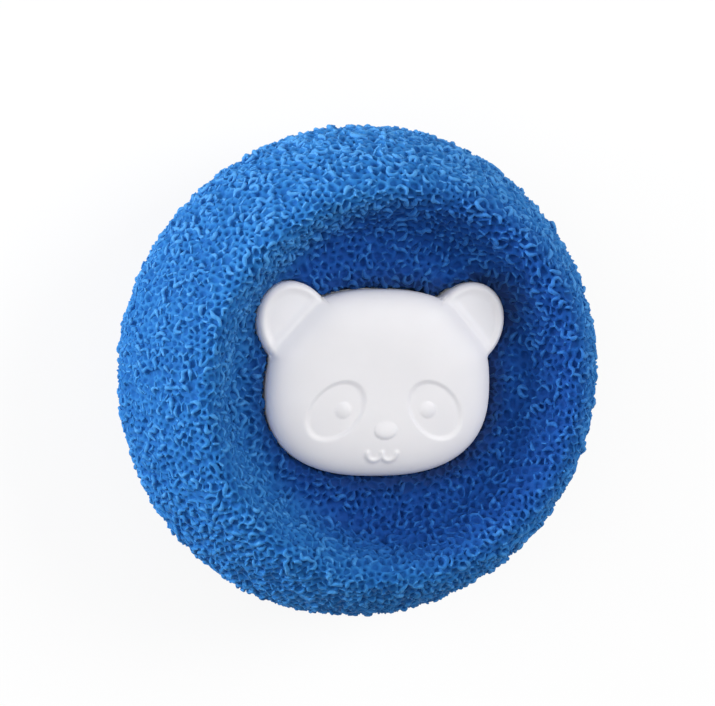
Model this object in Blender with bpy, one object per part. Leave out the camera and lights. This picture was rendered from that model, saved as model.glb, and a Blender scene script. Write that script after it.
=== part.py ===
"""Pet hair laundry ball: a sponge ring squeezed between two bear-face halves on a push-fit hub.

The ball lies on its back, with its axis along Z and the front face up. The origin is the middle of
the patch of floor that it lies on. Each face half is a base plate with a domed shell on it. The two
halves are alike, one turned over about Y, and each pushes onto one end of the hub column.
Heights called above the middle are measured from the ball's middle plane, outwards.
"""

import math

import bmesh
import bpy
from mathutils import Matrix, Vector

MM = 0.001

# Fits
CLEARANCE = 0.3 * MM  # between pieces that seat on or pass each other
SNAP_CLEARANCE = 0.05 * MM  # between the snap beads and the plate's hole
SPIGOT_END_GAP = 0.6 * MM  # from the hub column's end to the roof of the face shell

# Sponge ring
BALL_DIAMETER = 65.0 * MM
BALL_THICKNESS = 31.0 * MM  # crest to crest, before the ball's weight flattens the rear crest
REST_FLAT = 0.5 * MM  # how far the crest that it lies on is pressed in
CREST_DIAMETER = 50.4 * MM  # the high ring round each dish
DISH_WALL_DIAMETER = 44.4 * MM  # where the dish's wall is steepest
DISH_WALL_HEIGHT = 11.8 * MM  # above the middle
DISH_FOOT_DIAMETER = 39.8 * MM  # where the wall runs out into the dish's floor
DISH_FOOT_HEIGHT = 7.7 * MM  # above the middle
DISH_CENTRE_HEIGHT = 6.0 * MM  # above the middle, at the hub
SHOULDER_POWER = 1.6  # 2 is an elliptical outer side, and less is leaner

# Hub column
PLATE_SPACING = 9.4 * MM  # between the two base plates, the squeezed sponge's thickness
COLUMN_DIAMETER = 12.4 * MM
SPIGOT_DIAMETER = 8.7 * MM
HUB_BORE_DIAMETER = 6.2 * MM
BEAD_RISE = 0.25 * MM  # how far the snap beads stand out of the spigot
BEAD_LENGTH = 1.0 * MM
FINGER_SLOT = 1.0 * MM  # width of the cross slots that make the spigot's fingers
KEY_WIDTH = 1.2 * MM  # the rib that keeps each face upright
KEY_RISE = 0.9 * MM  # how far the rib stands out of the spigot

# Base plate
PLATE_THICKNESS = 1.5 * MM
COLLAR_WALL = 1.2 * MM  # the stiffening ring round the plate's hole
LIP_THICKNESS = 1.0 * MM  # the rim inside the shell's wall
BOSS_WALL = 0.9 * MM

# Face shell
SHELL_WALL = 1.5 * MM
SIDE_HEIGHT = 1.5 * MM  # the straight side below the dome
DOME_RISE = 3.4 * MM
DOME_POWER = 4.0  # 2 is a round dome, and more has a flatter top
HEAD_WIDTH = 30.2 * MM
HEAD_HEIGHT = 24.2 * MM
HEAD_POWER = 2.5  # 2 is an ellipse, and more is squarer
HEAD_TAPER = 0.03  # how much of its width the head loses from its centre to the forehead
HEAD_DROP = 0.5 * MM  # the head's centre is below the hub's axis, towards the chin
EAR_LENGTH = 11.6 * MM  # the ears are ellipses, half buried in the head
EAR_WIDTH = 9.8 * MM
EAR_LEAN = math.radians(28)  # outwards
EAR_SPREAD = 23.4 * MM  # between the ears' centres
EAR_LIFT = 7.0 * MM  # the ears' centres above the hub's axis, towards the forehead
EAR_RISE = 0.8 * MM  # the ears' dome above the straight side
PEG_DIAMETER = 2.2 * MM  # the shell's pegs, which press into the plate's bosses
PEG_SPREAD = 18.4 * MM
PEG_LIFT = 4.2 * MM
CHIN_PEG_DROP = 8.0 * MM

# Relief on the face
PATCH_LENGTH = 9.0 * MM  # the eye patches, pressed into the dome
PATCH_WIDTH = 7.8 * MM
PATCH_LEAN = math.radians(32)  # outwards, towards the cheek
PATCH_SPREAD = 13.6 * MM
PATCH_DROP = 3.1 * MM
PATCH_DEPTH = 0.4 * MM
EYE_DIAMETER = 2.2 * MM
EYE_SPREAD = 11.9 * MM
EYE_DROP = 3.4 * MM
EYE_RISE = 0.7 * MM  # above the patch
NOSE_WIDTH = 3.2 * MM
NOSE_HEIGHT = 2.1 * MM
NOSE_DROP = 6.2 * MM
NOSE_RISE = 0.6 * MM
MOUTH_RADIUS = 0.95 * MM  # of each of the mouth's two arcs
MOUTH_THICKNESS = 0.6 * MM
MOUTH_DROP = 8.9 * MM

# Facets
ROUND_STEPS = 52
HUB_STEPS = 24
HEAD_STEPS = 44
EAR_STEPS = 22
SMALL_STEPS = 12
FOOT_STEPS = 3
CREST_STEPS = 4
SHOULDER_STEPS = 6
DOME_RINGS = (1.0, 0.985, 0.94, 0.84, 0.66, 0.38)  # shares of the way out from the dome's middle
HOLLOW_RINGS = (1.0, 0.93, 0.75, 0.4)

# Heights above the middle, worked out from the sizes above
PLATE_SEAT = PLATE_SPACING / 2
PLATE_TOP = PLATE_SEAT + PLATE_THICKNESS
SHELL_RIM = PLATE_TOP + CLEARANCE
SIDE_TOP = SHELL_RIM + SIDE_HEIGHT
ROOF = SIDE_TOP + DOME_RISE - SHELL_WALL
EAR_ROOF = SIDE_TOP + EAR_RISE - SHELL_WALL
SPIGOT_TOP = ROOF - SPIGOT_END_GAP
SHOULDER = PLATE_SEAT - CLEARANCE
CREST_HEIGHT = BALL_THICKNESS / 2
MIDDLE = CREST_HEIGHT - REST_FLAT  # the middle plane's height above the floor

# Radii that one piece takes from another
COLUMN_RADIUS = COLUMN_DIAMETER / 2
SPIGOT_RADIUS = SPIGOT_DIAMETER / 2
BEAD_RADIUS = SPIGOT_RADIUS + BEAD_RISE
PLATE_HOLE_RADIUS = BEAD_RADIUS + SNAP_CLEARANCE
COLLAR_RADIUS = BEAD_RADIUS + CLEARANCE
SPONGE_BORE_RADIUS = COLUMN_RADIUS + CLEARANCE
KEY_REACH = SPIGOT_RADIUS + KEY_RISE
PEG_RADIUS = PEG_DIAMETER / 2
BOSS_BORE_RADIUS = PEG_RADIUS + CLEARANCE
PEG_PLACES = ((-PEG_SPREAD / 2, PEG_LIFT), (PEG_SPREAD / 2, PEG_LIFT), (0.0, -CHIN_PEG_DROP))


def clear_scene():
    for obj in list(bpy.data.objects):
        bpy.data.objects.remove(obj)


def finish(name, colour, roughness):
    made = bpy.data.materials.new(name)
    made.use_nodes = True
    shader = made.node_tree.nodes["Principled BSDF"]
    shader.inputs["Base Color"].default_value = (*colour, 1.0)
    shader.inputs["Roughness"].default_value = roughness
    shader.inputs["Metallic"].default_value = 0.0
    return made


def object_from(name, mesh_maker):
    """A new object whose mesh mesh_maker(bm) fills, with its faces turned outwards."""
    bm = bmesh.new()
    mesh_maker(bm)
    bmesh.ops.recalc_face_normals(bm, faces=bm.faces)
    mesh = bpy.data.meshes.new(name)
    bm.to_mesh(mesh)
    bm.free()
    obj = bpy.data.objects.new(name, mesh)
    bpy.context.scene.collection.objects.link(obj)
    return obj


def combine(target, tool, operation):
    """Cuts the tool from the target, or joins it on, and removes the tool."""
    modifier = target.modifiers.new("combine", "BOOLEAN")
    modifier.operation = operation
    modifier.solver = "EXACT"
    modifier.object = tool
    graph = bpy.context.evaluated_depsgraph_get()
    result = bpy.data.meshes.new_from_object(target.evaluated_get(graph))
    target.modifiers.clear()
    target.data = result
    bpy.data.objects.remove(tool)


def cut(target, tool):
    combine(target, tool, "DIFFERENCE")


def join(target, tool):
    combine(target, tool, "UNION")


def loft(name, rings):
    """A closed solid through rings of points, from the lowest to the highest."""

    def fill(bm):
        rows = [[bm.verts.new(point) for point in ring] for ring in rings]
        for low, high in zip(rows, rows[1:]):
            for i in range(len(low)):
                j = (i + 1) % len(low)
                bm.faces.new((low[i], low[j], high[j], high[i]))
        bm.faces.new(rows[0][::-1])
        bm.faces.new(rows[-1])

    return object_from(name, fill)


def revolve(name, profile, steps):
    """A closed outline of (radius, height) points, turned round Z."""

    def fill(bm):
        columns = []
        for step in range(steps):
            turn = math.tau * step / steps
            columns.append([bm.verts.new((r * math.cos(turn), r * math.sin(turn), h)) for r, h in profile])
        for i, column in enumerate(columns):
            beside = columns[(i + 1) % steps]
            for j in range(len(profile)):
                k = (j + 1) % len(profile)
                bm.faces.new((column[j], beside[j], beside[k], column[k]))

    return object_from(name, fill)


def rod(name, radius, low, high, place=(0.0, 0.0), steps=HUB_STEPS):
    """An upright round rod."""
    turns = [math.tau * step / steps for step in range(steps)]
    outline = [(place[0] + radius * math.cos(turn), place[1] + radius * math.sin(turn)) for turn in turns]
    return loft(name, [[(x, y, height) for x, y in outline] for height in (low, high)])


def block(name, low, high):
    """A box between two corners."""

    def fill(bm):
        centre = (Vector(low) + Vector(high)) / 2
        size = Vector(high) - Vector(low)
        bmesh.ops.create_cube(bm, size=1.0, matrix=Matrix.LocRotScale(centre, None, size))

    return object_from(name, fill)


def pebble(name, placing, half_sizes):
    """An ellipsoid in the frame of the placing matrix."""

    def fill(bm):
        matrix = placing @ Matrix.Diagonal((*half_sizes, 1.0))
        rows = SMALL_STEPS // 2
        bmesh.ops.create_uvsphere(bm, u_segments=SMALL_STEPS, v_segments=rows, radius=1.0, matrix=matrix)

    return object_from(name, fill)


def head_ring(height, grow=0.0, share=1.0):
    """The head's outline, grown by grow and then drawn in to a share of its size."""
    points = []
    for step in range(HEAD_STEPS):
        turn = math.tau * (step + 0.5) / HEAD_STEPS
        x, y = math.cos(turn), math.sin(turn)
        across = share * math.copysign(abs(x) ** (2 / HEAD_POWER), x)
        up = share * math.copysign(abs(y) ** (2 / HEAD_POWER), y)
        half_width = (HEAD_WIDTH / 2 + grow) * (1 - HEAD_TAPER * up)
        points.append((half_width * across, (HEAD_HEIGHT / 2 + grow) * up - HEAD_DROP, height))
    return points


def ear_ring(side, height, grow=0.0, share=1.0):
    """One ear's outline. side is -1 or 1."""
    points = []
    for step in range(EAR_STEPS):
        turn = math.tau * (step + 0.5) / EAR_STEPS
        along = (EAR_LENGTH / 2 + grow) * share * math.cos(turn)
        across = (EAR_WIDTH / 2 + grow) * share * math.sin(turn)
        outwards = EAR_SPREAD / 2 + along * math.sin(EAR_LEAN) + across * math.cos(EAR_LEAN)
        upwards = EAR_LIFT + along * math.cos(EAR_LEAN) - across * math.sin(EAR_LEAN)
        points.append((side * outwards, upwards, height))
    return points


def bear_slab(name, grow, low, high):
    """The whole outline, head and ears, between two heights."""
    slab = loft(name, [head_ring(low, grow), head_ring(high, grow)])
    for side in (-1, 1):
        join(slab, loft("ear", [ear_ring(side, low, grow), ear_ring(side, high, grow)]))
    return slab


def dome_share(share):
    """The height of a dome at a share of the way out to its edge, as a share of its rise."""
    return math.sqrt(max(0.0, 1.0 - share**DOME_POWER))


def domed(name, ring_at, low, rise, shares):
    """A straight side with a dome on it. ring_at(height, share) gives each ring."""
    rings = [ring_at(low, 1.0)]
    rings += [ring_at(SIDE_TOP + rise * dome_share(share), share) for share in shares]
    return loft(name, rings)


def share_of_head(x, y):
    """How far (x, y) lies out from the head's centre: 0 at the centre and 1 on the outline."""
    up = (y + HEAD_DROP) / (HEAD_HEIGHT / 2)
    across = x / (HEAD_WIDTH / 2 * (1 - HEAD_TAPER * up))
    return (abs(across) ** HEAD_POWER + abs(up) ** HEAD_POWER) ** (1 / HEAD_POWER)


def on_face(x, y):
    """A point on the outside of the dome."""
    return Vector((x, y, SIDE_TOP + DOME_RISE * dome_share(share_of_head(x, y))))


def face_frame(x, y, lean=0.0):
    """A frame on the dome: its origin on the surface, and its Z straight out of it."""
    step = 0.05 * MM
    along = on_face(x + step, y) - on_face(x - step, y)
    up = on_face(x, y + step) - on_face(x, y - step)
    normal = along.cross(up).normalized()
    turn = Vector((0.0, 0.0, 1.0)).rotation_difference(normal).to_matrix().to_4x4()
    return Matrix.Translation(on_face(x, y)) @ turn @ Matrix.Rotation(lean, 4, "Z")


def quarter(centre, end_radial, end_axial, steps, power=2.0):
    """Points on a quarter ellipse, from its radial end (left out) to its axial end."""
    points = []
    for step in range(1, steps + 1):
        turn = math.pi / 2 * step / steps
        across = math.cos(turn) ** (2 / power)
        up = math.sin(turn) ** (2 / power)
        points.append((centre[0] + end_radial * across, centre[1] + end_axial * up))
    return points


def sponge_profile():
    """The ring's section, as a closed outline of (radius, height above the middle) points."""
    crest = CREST_DIAMETER / 2
    wall = DISH_WALL_DIAMETER / 2
    foot = DISH_FOOT_DIAMETER / 2
    crest_rise = CREST_HEIGHT - DISH_WALL_HEIGHT
    foot_rise = DISH_WALL_HEIGHT - DISH_FOOT_HEIGHT
    upper = [(SPONGE_BORE_RADIUS, DISH_CENTRE_HEIGHT), (foot, DISH_FOOT_HEIGHT)]
    into_wall = quarter((foot, DISH_WALL_HEIGHT), wall - foot, -foot_rise, FOOT_STEPS)
    upper += into_wall[-2::-1] + [(wall, DISH_WALL_HEIGHT)]
    upper += quarter((crest, DISH_WALL_HEIGHT), wall - crest, crest_rise, CREST_STEPS)
    outer = quarter((crest, 0.0), BALL_DIAMETER / 2 - crest, CREST_HEIGHT, SHOULDER_STEPS, SHOULDER_POWER)
    upper += outer[-2::-1]
    lower = [(r, max(-h, -MIDDLE)) for r, h in reversed(upper)]
    return upper + [(BALL_DIAMETER / 2, 0.0)] + lower


def make_sponge():
    """The sponge ring, with a round bore and, in each dish, a seat in the shape of the face half."""
    ring = revolve("sponge_ring", sponge_profile(), ROUND_STEPS)
    for side in (1, -1):
        seat = bear_slab("seat", CLEARANCE, SHOULDER, CREST_HEIGHT)
        seat.data.transform(half_turn(side))
        cut(ring, seat)
    return ring


def half_turn(side):
    """1 leaves a piece facing the front, and -1 turns it over about Y to face the rear."""
    return Matrix.Rotation(0.0 if side == 1 else math.pi, 4, "Y")


def column_profile():
    """The column's section: the bore inside, and outside the barrel, the spigots and their snap beads."""
    bead = PLATE_TOP + CLEARANCE
    outside = [
        (HUB_BORE_DIAMETER / 2, SPIGOT_TOP),
        (SPIGOT_RADIUS, SPIGOT_TOP),
        (SPIGOT_RADIUS, bead + BEAD_LENGTH),
        (BEAD_RADIUS, bead + BEAD_LENGTH * 2 / 3),
        (BEAD_RADIUS, bead + BEAD_LENGTH / 3),
        (SPIGOT_RADIUS, bead),
        (SPIGOT_RADIUS, SHOULDER),
        (COLUMN_RADIUS, SHOULDER),
    ]
    return outside + [(r, -h) for r, h in reversed(outside)]


def make_column():
    """The hub column: a barrel, and at each end a slotted spigot with a snap bead and a key rib."""
    column = revolve("hub_column", column_profile(), HUB_STEPS)
    key_root = (HUB_BORE_DIAMETER / 2 + SPIGOT_RADIUS) / 2
    slot_low = SHOULDER + FINGER_SLOT
    for side in (1, -1):
        key = block("key", (-KEY_WIDTH / 2, key_root, SHOULDER / 2), (KEY_WIDTH / 2, KEY_REACH, PLATE_TOP))
        key.data.transform(half_turn(side))
        join(column, key)
        for turn in (math.radians(45), math.radians(135)):
            low = (-COLUMN_RADIUS, -FINGER_SLOT / 2, slot_low)
            slot = block("slot", low, (COLUMN_RADIUS, FINGER_SLOT / 2, SPIGOT_TOP + CLEARANCE))
            slot.data.transform(half_turn(side) @ Matrix.Rotation(turn, 4, "Z"))
            cut(column, slot)
    return column


def make_plate():
    """A base plate: the outline's floor, its lip, the collar round the hole, and three bosses."""
    plate = bear_slab("base_plate", 0.0, PLATE_SEAT, PLATE_TOP)
    middle = (PLATE_SEAT + PLATE_TOP) / 2
    lip_outside = -SHELL_WALL - CLEARANCE
    lip = bear_slab("lip", lip_outside, middle, EAR_ROOF - CLEARANCE)
    cut(lip, bear_slab("lip_inside", lip_outside - LIP_THICKNESS, SHOULDER, SIDE_TOP))
    join(plate, lip)
    join(plate, rod("collar", COLLAR_RADIUS + COLLAR_WALL, middle, SPIGOT_TOP - CLEARANCE))
    for place in PEG_PLACES:
        join(plate, rod("boss", BOSS_BORE_RADIUS + BOSS_WALL, middle, SIDE_TOP, place, SMALL_STEPS))
    for place in PEG_PLACES:
        cut(plate, rod("boss_bore", BOSS_BORE_RADIUS, PLATE_TOP, SIDE_TOP + CLEARANCE, place, SMALL_STEPS))
    cut(plate, rod("hole", PLATE_HOLE_RADIUS, SHOULDER, SPIGOT_TOP))
    cut(plate, rod("collar_bore", COLLAR_RADIUS, PLATE_TOP, SPIGOT_TOP))
    half_key = KEY_WIDTH / 2 + CLEARANCE
    cut(plate, block("keyway", (-half_key, 0.0, SHOULDER), (half_key, KEY_REACH + CLEARANCE, SIDE_TOP)))
    return plate


def make_shell():
    """A face shell: the domed bear's head, hollow from behind, with pegs inside and its relief outside."""
    shell = domed("face_shell", lambda h, s: head_ring(h, 0.0, s), SHELL_RIM, DOME_RISE, DOME_RINGS)
    for side in (-1, 1):
        join(shell, domed("ear", lambda h, s: ear_ring(side, h, 0.0, s), SHELL_RIM, EAR_RISE, DOME_RINGS))
    rise = DOME_RISE - SHELL_WALL
    cut(shell, domed("hollow", lambda h, s: head_ring(h, -SHELL_WALL, s), PLATE_SEAT, rise, HOLLOW_RINGS))
    for side in (-1, 1):
        rings = [ear_ring(side, height, -SHELL_WALL) for height in (PLATE_SEAT, EAR_ROOF)]
        cut(shell, loft("hollow_ear", rings))
    for x, y in PEG_PLACES:
        root = on_face(x, y).z - SHELL_WALL / 2
        join(shell, rod("peg", PEG_RADIUS, SHELL_RIM, root, (x, y), SMALL_STEPS))
    for side in (-1, 1):
        add_eye(shell, side)
    nose = face_frame(0.0, -NOSE_DROP)
    join(shell, pebble("nose", nose, (NOSE_WIDTH / 2, NOSE_HEIGHT / 2, NOSE_RISE)))
    for side in (-1, 1):
        join(shell, mouth_arc(side))
    return shell


def add_eye(shell, side):
    """Presses one eye patch into the dome, with the round eye standing in it."""
    frame = face_frame(side * PATCH_SPREAD / 2, -PATCH_DROP, side * PATCH_LEAN)

    patch = rod("patch", 1.0, -PATCH_DEPTH, SHELL_WALL, steps=2 * SMALL_STEPS)
    patch.data.transform(frame @ Matrix.Diagonal((PATCH_WIDTH / 2, PATCH_LENGTH / 2, 1.0, 1.0)))
    cut(shell, patch)
    eye = face_frame(side * EYE_SPREAD / 2, -EYE_DROP) @ Matrix.Translation((0.0, 0.0, -PATCH_DEPTH))
    join(shell, pebble("eye", eye, (EYE_DIAMETER / 2, EYE_DIAMETER / 2, EYE_RISE)))


def mouth_arc(side):
    """One of the mouth's two hanging arcs, a bent rod half sunk in the dome."""
    radius = MOUTH_THICKNESS / 2
    centre = (side * MOUTH_RADIUS, -MOUTH_DROP)
    rings = []
    for step in range(SMALL_STEPS // 2 + 1):
        turn = math.pi + math.pi * step / (SMALL_STEPS // 2)
        out = Vector((math.cos(turn), math.sin(turn), 0.0))
        place = on_face(centre[0] + MOUTH_RADIUS * out.x, centre[1] + MOUTH_RADIUS * out.y)
        angles = [math.tau * (corner + 0.5) / (SMALL_STEPS // 2) for corner in range(SMALL_STEPS // 2)]
        spokes = [math.cos(angle) * out + Vector((0.0, 0.0, math.sin(angle))) for angle in angles]
        rings.append([place + radius * spoke for spoke in spokes])
    if side == 1:  # the two arcs meet in the middle, and their ends there mustn't lie face to face
        rings[0] = [point - Vector((radius / 2, 0.0, 0.0)) for point in rings[0]]
    return loft("mouth_arc", rings)


def empty(name, parent=None):
    made = bpy.data.objects.new(name, None)
    bpy.context.scene.collection.objects.link(made)
    made.parent = parent
    return made


def dress(obj, material):
    obj.data.materials.clear()
    obj.data.materials.append(material)
    obj.data.shade_smooth()
    obj.data.set_sharp_from_angle(angle=math.radians(35))


def place_half(name, side, ball, plate, shell):
    """Parents a plate and a shell to an empty on the ball's axis, from which the half slides off."""
    half = empty(name + "_half", ball)
    half.matrix_basis = half_turn(side)
    for kind, source in (("base_plate", plate), ("face_shell", shell)):
        piece = bpy.data.objects.new(f"{name}_{kind}", source.data)
        bpy.context.scene.collection.objects.link(piece)
        piece.parent = half


def main():
    clear_scene()
    sponge_blue = finish("sponge_blue", (0.03, 0.16, 0.50), 0.85)
    white_plastic = finish("white_plastic", (0.86, 0.85, 0.87), 0.35)
    ball = empty("laundry_ball")
    ball.location = (0.0, 0.0, MIDDLE)
    sponge = make_sponge()
    dress(sponge, sponge_blue)
    sponge.parent = ball
    column = make_column()
    dress(column, white_plastic)
    column.parent = ball
    plate = make_plate()
    shell = make_shell()
    for piece in (plate, shell):
        dress(piece, white_plastic)
    place_half("front", 1, ball, plate, shell)
    place_half("rear", -1, ball, plate, shell)
    for pattern in (plate, shell):
        bpy.data.objects.remove(pattern)


main()
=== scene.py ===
# %% [markdown]
# # A pet hair laundry ball
# The ball is a thick ring of blue open-cell sponge. A white bear's face is set in the dish on each of
# its sides. The two faces push onto one hub and squeeze the sponge between them.
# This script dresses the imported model, which already has the right sizes and joints. It makes the
# sponge's cells, the two smooth faces and their finishes, and then the light and the camera.
# Heights called above the middle are measured from the ball's middle plane, outwards.

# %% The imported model
import math

import bpy
import numpy as np
from mathutils import Matrix, Vector
from mathutils.geometry import delaunay_2d_cdt


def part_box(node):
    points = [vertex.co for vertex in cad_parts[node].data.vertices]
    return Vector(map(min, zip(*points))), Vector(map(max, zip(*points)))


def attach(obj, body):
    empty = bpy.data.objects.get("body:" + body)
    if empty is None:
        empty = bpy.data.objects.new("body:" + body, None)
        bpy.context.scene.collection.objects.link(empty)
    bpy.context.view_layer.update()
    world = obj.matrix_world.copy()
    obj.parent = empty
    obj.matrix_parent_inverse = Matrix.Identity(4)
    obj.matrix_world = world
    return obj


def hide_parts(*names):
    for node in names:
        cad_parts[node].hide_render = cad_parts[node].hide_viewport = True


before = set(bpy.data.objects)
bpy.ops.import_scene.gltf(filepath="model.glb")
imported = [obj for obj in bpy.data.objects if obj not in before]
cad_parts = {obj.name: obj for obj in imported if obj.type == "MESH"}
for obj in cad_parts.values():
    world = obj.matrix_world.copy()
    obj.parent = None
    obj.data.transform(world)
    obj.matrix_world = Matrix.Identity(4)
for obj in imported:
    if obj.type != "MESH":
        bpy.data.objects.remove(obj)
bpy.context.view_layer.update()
MM = 0.001

# %% [markdown]
# ## Sizes
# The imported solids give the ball's own sizes. The rest are the sizes that the solids were drawn
# with, so that each fine surface lies where its solid does.

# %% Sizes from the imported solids
ring_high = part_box("sponge_ring")[1]
hub_low, hub_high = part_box("hub_column")
shell_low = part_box("front_face_shell")[0]
plate_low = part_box("front_base_plate")[0]
MIDDLE = (hub_low.z + hub_high.z) / 2
BALL_RADIUS = ring_high.x
CREST_HEIGHT = ring_high.z - MIDDLE
SHELL_RIM = shell_low.z - MIDDLE
PLATE_SEAT = plate_low.z - MIDDLE
print(f"ball {2 * BALL_RADIUS / MM:.1f} mm across, crest {CREST_HEIGHT / MM:.1f} mm above the middle")

# %% Sizes of the sponge's section
GAP = 0.3 * MM  # between the sponge and the plastic
BORE_RADIUS = 6.5 * MM
DISH_CENTRE_HEIGHT = 6.0 * MM
DISH_FOOT_RADIUS = 19.9 * MM  # where the dish's floor turns up into its wall
DISH_FOOT_HEIGHT = 7.7 * MM
CREST_RADIUS = 25.2 * MM
SHOULDER_POWER = 1.45  # 2 is an elliptical outer side, and less is leaner
SEAT_HEIGHT = PLATE_SEAT - GAP

# %% Sizes of the face
SHELL_WALL = 1.5 * MM
SIDE_TOP = SHELL_RIM + 1.5 * MM  # the straight side's top, where the dome starts
DOME_RISE = 3.4 * MM
DOME_POWER = 4.0  # 2 is a round dome, and more has a flatter top
HEAD_WIDTH = 30.2 * MM
HEAD_HEIGHT = 24.2 * MM
HEAD_POWER = 2.5
HEAD_TAPER = 0.03
HEAD_DROP = 0.5 * MM
EAR_LENGTH = 11.6 * MM
EAR_WIDTH = 9.8 * MM
EAR_LEAN = math.radians(28)
EAR_SPREAD = 23.4 * MM
EAR_LIFT = 7.0 * MM

# %% [markdown]
# ## The face's outline
# The outline is a squarish oval head with two oval ears. Both are easy to write as a share: 0 at the
# middle and 1 on the outline. Taking the smaller share joins the shapes, and a soft minimum rounds
# the inside corner between head and ear as the mould does.
# The sponge's seat follows the same outline, so this comes first.

# %% Shares of the head and of the ears
NOTCH_ROUND = 0.5 * MM  # how far the inside corner between head and ear is rounded


def head_share(x, y):
    """0 at the head's centre and 1 on its outline."""
    up = (y + HEAD_DROP) / (HEAD_HEIGHT / 2)
    across = x / (HEAD_WIDTH / 2 * (1 - HEAD_TAPER * up))
    return (np.abs(across) ** HEAD_POWER + np.abs(up) ** HEAD_POWER) ** (1 / HEAD_POWER)


def leaning(x, y, centre, lean):
    """Coordinates across and along an oval that leans away from the face's middle line."""
    aside, over = np.abs(x) - centre[0], y - centre[1]
    across = aside * math.cos(lean) - over * math.sin(lean)
    along = aside * math.sin(lean) + over * math.cos(lean)
    return across, along


def ear_share(x, y):
    across, along = leaning(x, y, (EAR_SPREAD / 2, EAR_LIFT), EAR_LEAN)
    return np.hypot(across / (EAR_WIDTH / 2), along / (EAR_LENGTH / 2))


def soft_min(a, b, width):
    """The smaller of a and b, with a round corner where they are within width of each other."""
    near = np.clip(0.5 + 0.5 * (b - a) / width, 0, 1)
    return b + (a - b) * near - width * near * (1 - near)


def edge_radius(turn):
    """How far the outline lies from the hub's axis in each direction."""
    reach = np.linspace(8 * MM, 22 * MM, 700)
    x = np.cos(turn)[:, None] * reach
    y = np.sin(turn)[:, None] * reach
    head = (head_share(x, y) - 1) * HEAD_HEIGHT / 2
    ear = (ear_share(x, y) - 1) * EAR_WIDTH / 2
    outside = soft_min(head, ear, NOTCH_ROUND)
    last = (outside.shape[1] - 1) - np.argmax(outside[:, ::-1] < 0, axis=1)
    rows = np.arange(len(turn))
    here, after = outside[rows, last], outside[rows, last + 1]
    return reach[last] + (reach[1] - reach[0]) * here / (here - after)


widest = 2 * edge_radius(np.linspace(0, math.pi, 721)).max()
print(f"the face's outline reaches {widest / MM:.1f} mm from ear tip to ear tip through the hub")

# %% [markdown]
# ## Helpers for trees of nodes and for meshes
# Geometry Nodes trees and materials are both trees of nodes. One helper adds a node with its
# settings and feeds its inputs, either with a plain value or from another node. The rest run a tree
# on an object, and make a mesh or read one as plain rows of numbers.

# %% Node and mesh helpers


def socket_named(sockets, name):
    """A socket by number, or the first one in use that has this name."""
    if isinstance(name, int):
        return sockets[name]
    return next(socket for socket in sockets if socket.enabled and socket.name == name)


def feed(tree, node, feeds):
    """Gives a node's inputs values or other nodes' outputs."""
    for name, value in feeds.items():
        socket = socket_named(node.inputs, name)
        if isinstance(value, bpy.types.NodeSocket):
            tree.links.new(value, socket)
        else:
            socket.default_value = value


def add(tree, kind, feeds=None, **settings):
    """Adds a node with its settings and feeds it."""
    node = tree.nodes.new(kind)
    for setting, value in settings.items():
        setattr(node, setting, value)
    feed(tree, node, feeds or {})
    return node


def out(node, name=None):
    """A node's output by name, or its first one in use."""
    if name is None:
        return next(socket for socket in node.outputs if socket.enabled)
    return socket_named(node.outputs, name)


def calc(tree, operation, a, b=0.0):
    return out(add(tree, "ShaderNodeMath", {0: a, 1: b}, operation=operation))


def geometry_tree(name, sizes):
    """A tree that takes and gives a mesh. sizes are its named inputs: (name, socket type, value)."""
    tree = bpy.data.node_groups.new(name, "GeometryNodeTree")
    tree.interface.new_socket("Geometry", in_out="INPUT", socket_type="NodeSocketGeometry")
    tree.interface.new_socket("Geometry", in_out="OUTPUT", socket_type="NodeSocketGeometry")
    for label, kind, value in sizes:
        tree.interface.new_socket(label, in_out="INPUT", socket_type=kind).default_value = value
    return tree, tree.nodes.new("NodeGroupInput")


def finish_tree(tree, geometry, material):
    """Ends a tree: instances become mesh, and everything gets its material."""
    real = add(tree, "GeometryNodeRealizeInstances", {"Geometry": geometry})
    dressed = add(tree, "GeometryNodeSetMaterial", {"Geometry": out(real), "Material": material})
    tree.links.new(out(dressed), tree.nodes.new("NodeGroupOutput").inputs["Geometry"])


def run_tree(obj, tree, values):
    """Runs a tree on an object and keeps the result as its plain mesh."""
    modifier = obj.modifiers.new(tree.name, "NODES")
    modifier.node_group = tree
    for item in tree.interface.items_tree:
        if item.in_out == "INPUT" and item.name in values:
            modifier[item.identifier] = values[item.name]
    graph = bpy.context.evaluated_depsgraph_get()
    evaluated = obj.evaluated_get(graph)
    made = bpy.data.meshes.new_from_object(evaluated, preserve_all_data_layers=True, depsgraph=graph)
    obj.modifiers.clear()
    obj.data = made
    return obj


def mesh_object(name, points, faces):
    mesh = bpy.data.meshes.new(name)
    mesh.from_pydata(points, [], faces)
    obj = bpy.data.objects.new(name, mesh)
    bpy.context.scene.collection.objects.link(obj)
    return obj


def points_of(mesh):
    """The places of a mesh's points, one row each."""
    values = np.empty(len(mesh.vertices) * 3)
    mesh.vertices.foreach_get("co", values)
    return values.reshape(-1, 3)


def numbers(mesh, name):
    """What each point of a mesh carries under that name."""
    values = np.empty(len(mesh.vertices))
    mesh.attributes[name].data.foreach_get("value", values)
    return values


# %% [markdown]
# ## The blue sponge's finish
# Light catches the skin's thin struts, and the pits between them are deep and dark. The cells are
# real geometry here, and each point of it carries a number called depth, low on the struts and 1 on
# the floors of the pits. The colour follows that number, so it stays right from every side: the lower
# a point lies, the darker it is coloured, a painted shade on top of the pits' real shadow. A wide,
# weak noise makes some stretches lighter, as dye and wear do. On top of that the colour is painted
# lighter towards +Y and a little towards +X and darker the other way, as painted light.
# A second, darker row of colours takes over in a zone round each face. It stands partly for the
# squeezed cells, which swallow more light, and partly for painted shade in the dish, so the zone is
# moved to the right, where the dish lies in shade. Right at the face's edge the crease is painted
# darkest, as painted shade, most of all on its right.

# %% Sponge material


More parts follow.
